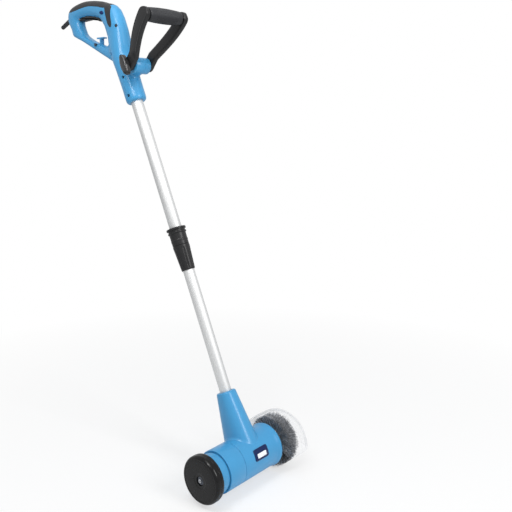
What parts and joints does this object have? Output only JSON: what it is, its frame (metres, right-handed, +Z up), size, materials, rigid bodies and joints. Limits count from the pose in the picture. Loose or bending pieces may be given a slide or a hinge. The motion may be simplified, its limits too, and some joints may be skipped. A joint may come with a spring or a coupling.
{
  "type": "electric patio cleaner",
  "caption": "Rotating joint brush with clear guard and guide wheel on a telescopic aluminium shaft, D-handle with trigger and tilting loop handle.",
  "frame": {"origin": "on the ground under the crossing of the head axis and the shaft axis, level with the lowest point of the brush", "axes": "+X along the head axis to the guide wheel, +Y forwards away from the user, +Z up; the shaft leans back 24.9 degrees towards -Y"},
  "size_m": [0.2364, 0.612, 0.8938],
  "materials": {
    "blue_plastic": "satin moulded blue",
    "soft_rubber": "matt soft-touch black",
    "black_plastic": "fine-textured black",
    "aluminium": "bright drawn",
    "steel": "zinc plated",
    "dark_steel": "blackened",
    "copper": "turned copper",
    "nylon": "dark crimped nylon",
    "clear_plastic": "clear moulded plastic",
    "navy": "smooth navy",
    "white": "smooth white",
    "pale_plastic": "natural nylon"
  },
  "bodies": {
    "handle": {"upper_tube": "aluminium", "collar_sleeve": "black_plastic", "shaft_collet": "pale_plastic", "soft_grip": "soft_rubber", "handle_shell_right": "blue_plastic", "handle_shell_left": "blue_plastic", "handle_screw_1": "dark_steel", "handle_screw_2": "dark_steel", "handle_screw_3": "dark_steel", "handle_screw_4": "dark_steel", "handle_screw_5": "dark_steel", "trigger_pin": "steel", "power_switch": "black_plastic", "capacitor": "pale_plastic", "terminal_block": "white", "cable_bend_protector": "soft_rubber"},
    "lock_nut": {"collar_nut": "black_plastic"},
    "head": {"lower_tube": "aluminium", "motor_housing_front": "blue_plastic", "motor_housing_rear": "blue_plastic", "motor_ring": "blue_plastic", "end_cap": "blue_plastic", "label_plate": "navy", "label_panel": "white", "wheel_axle": "steel", "wheel_screw": "steel", "gearbox_plate": "aluminium", "front_bearing": "steel", "rear_bearing": "steel", "stator": "dark_steel", "carbon_brush_upper": "dark_steel", "carbon_brush_lower": "dark_steel", "brush_holder_plate": "aluminium", "ring_gear": "dark_steel", "gear_cover": "black_plastic", "splash_guard": "clear_plastic"},
    "guide_wheel": {"guide_wheel": "black_plastic"},
    "rotor": {"motor_shaft": "dark_steel", "rotor_core": "steel", "commutator": "copper", "cooling_fan": "pale_plastic"},
    "brush": {"planet_carrier": "dark_steel", "brush_hub": "pale_plastic", "brush_plate_inner": "steel", "brush_plate_outer": "steel", "bristle_ring_1": "nylon", "bristle_ring_2": "nylon", "bristle_ring_3": "nylon", "bristle_ring_4": "nylon", "spindle_nut": "steel"},
    "planet_1": {"planet_gear_1": "steel"},
    "planet_2": {"planet_gear_2": "steel"},
    "planet_3": {"planet_gear_3": "steel"},
    "loop_handle": {"loop_handle_frame": "black_plastic", "loop_handle_grip": "soft_rubber", "clamp_bolt": "steel"},
    "clamp_knob": {"clamp_knob": "black_plastic"},
    "trigger": {"trigger": "black_plastic"},
    "lock_off_button": {"lock_off_button": "navy"}
  },
  "joints": [
    {"name": "shaft_slide", "type": "slide", "parent": "handle", "child": "head", "axis": [0, -0.421, 0.907], "range_m": [-0.09, 0.2]},
    {"name": "lock_nut_turn", "type": "hinge", "parent": "handle", "child": "lock_nut", "pos_m": [0, -0.15999, 0.39368], "axis": [0, -0.421, 0.907], "range_deg": [0, 120]},
    {"name": "wheel_spin", "type": "hinge", "parent": "head", "child": "guide_wheel", "pos_m": [0.108, 0, 0.049], "axis": [1, 0, 0], "continuous": true},
    {"name": "brush_spin", "type": "hinge", "parent": "head", "child": "brush", "pos_m": [-0.087, 0, 0.049], "axis": [1, 0, 0], "continuous": true},
    {"name": "rotor_spin", "type": "hinge", "parent": "head", "child": "rotor", "pos_m": [0.005, 0, 0.049], "axis": [1, 0, 0], "continuous": true},
    {"name": "planet_1_spin", "type": "hinge", "parent": "brush", "child": "planet_1", "pos_m": [-0.0435, 0.01415, 0.05557], "axis": [1, 0, 0], "continuous": true},
    {"name": "planet_2_spin", "type": "hinge", "parent": "brush", "child": "planet_2", "pos_m": [-0.0435, -0.01276, 0.05797], "axis": [1, 0, 0], "continuous": true},
    {"name": "planet_3_spin", "type": "hinge", "parent": "brush", "child": "planet_3", "pos_m": [-0.0435, -0.00139, 0.03346], "axis": [1, 0, 0], "continuous": true},
    {"name": "loop_tilt", "type": "hinge", "parent": "handle", "child": "loop_handle", "pos_m": [0, -0.2856, 0.75762], "axis": [1, 0, 0], "range_deg": [-60, 30]},
    {"name": "clamp_knob_turn", "type": "hinge", "parent": "loop_handle", "child": "clamp_knob", "pos_m": [0.04, -0.2856, 0.75762], "axis": [1, 0, 0], "continuous": true},
    {"name": "trigger_pull", "type": "hinge", "parent": "handle", "child": "trigger", "pos_m": [0, -0.46818, 0.85809], "axis": [1, 0, 0], "range_deg": [0, 6.5], "stiffness_Nm_per_rad": 1, "springref_deg": -5.73},
    {"name": "button_press", "type": "slide", "parent": "handle", "child": "lock_off_button", "axis": [-1, 0, 0], "range_m": [0, 0.0025], "stiffness_N_per_m": 400, "springref_m": -0.001}
  ],
  "couplings": [
    {"joint": "rotor_spin", "follows": "brush_spin", "ratio": 5.3333},
    {"joint": "planet_1_spin", "follows": "brush_spin", "ratio": -2.6},
    {"joint": "planet_2_spin", "follows": "brush_spin", "ratio": -2.6},
    {"joint": "planet_3_spin", "follows": "brush_spin", "ratio": -2.6}
  ]
}
